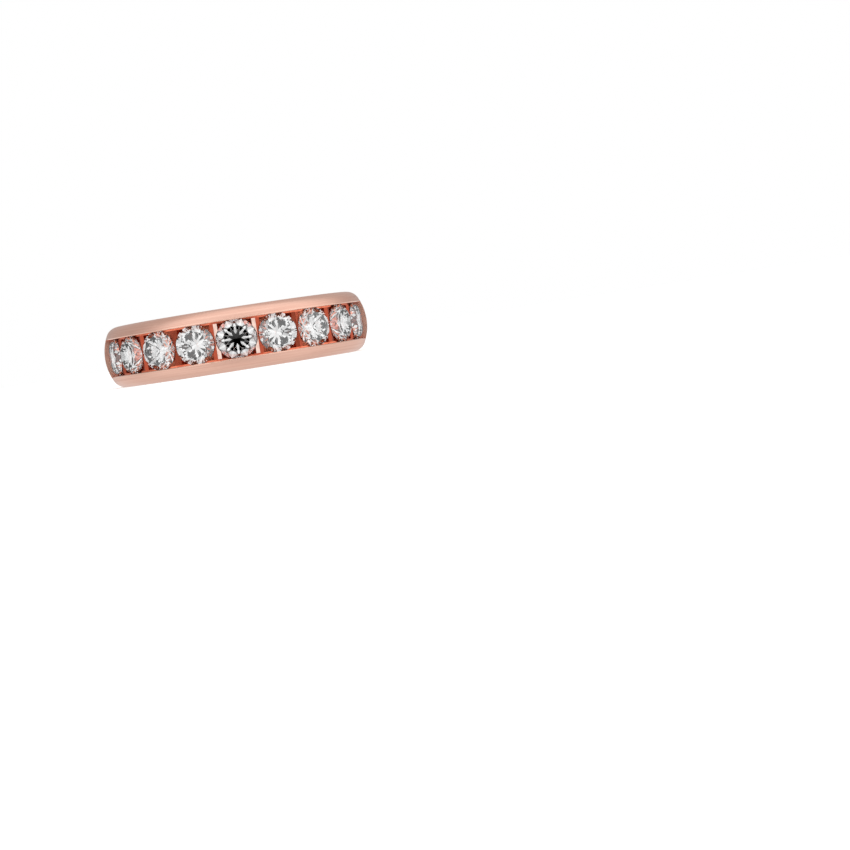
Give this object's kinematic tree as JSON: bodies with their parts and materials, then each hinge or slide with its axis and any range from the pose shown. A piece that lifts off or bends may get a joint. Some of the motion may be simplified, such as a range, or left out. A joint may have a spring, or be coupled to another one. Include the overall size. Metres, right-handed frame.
{
  "type": "wedding band",
  "caption": "Domed finger ring with a row of round brilliant stones held by their girdles in a channel between two rails over the front half, and a plain rear shank.",
  "frame": {"origin": "centre of the finger bore, half way across the band", "axes": "+Z along the finger bore, so the ring lies on its side face; the middle stone faces -Y; +X to the right of someone facing that stone"},
  "size_m": [0.0214, 0.0213, 0.005],
  "materials": {
    "satin_rose_gold": "satin, finely brushed along the band",
    "polished_rose_gold": "polished",
    "diamond": "polished facets, round brilliant cut"
  },
  "bodies": {
    "root": {"shank": "satin_rose_gold", "upper_rail": "satin_rose_gold", "lower_rail": "satin_rose_gold", "channel_floor": "polished_rose_gold", "bridge_bar_1": "polished_rose_gold", "bridge_bar_2": "polished_rose_gold", "bridge_bar_3": "polished_rose_gold", "bridge_bar_4": "polished_rose_gold", "bridge_bar_5": "polished_rose_gold", "bridge_bar_6": "polished_rose_gold", "bridge_bar_7": "polished_rose_gold", "bridge_bar_8": "polished_rose_gold", "diamond_1": "diamond", "diamond_2": "diamond", "diamond_3": "diamond", "diamond_4": "diamond", "diamond_5": "diamond", "diamond_6": "diamond", "diamond_7": "diamond", "diamond_8": "diamond", "diamond_9": "diamond"}
  },
  "joints": []
}
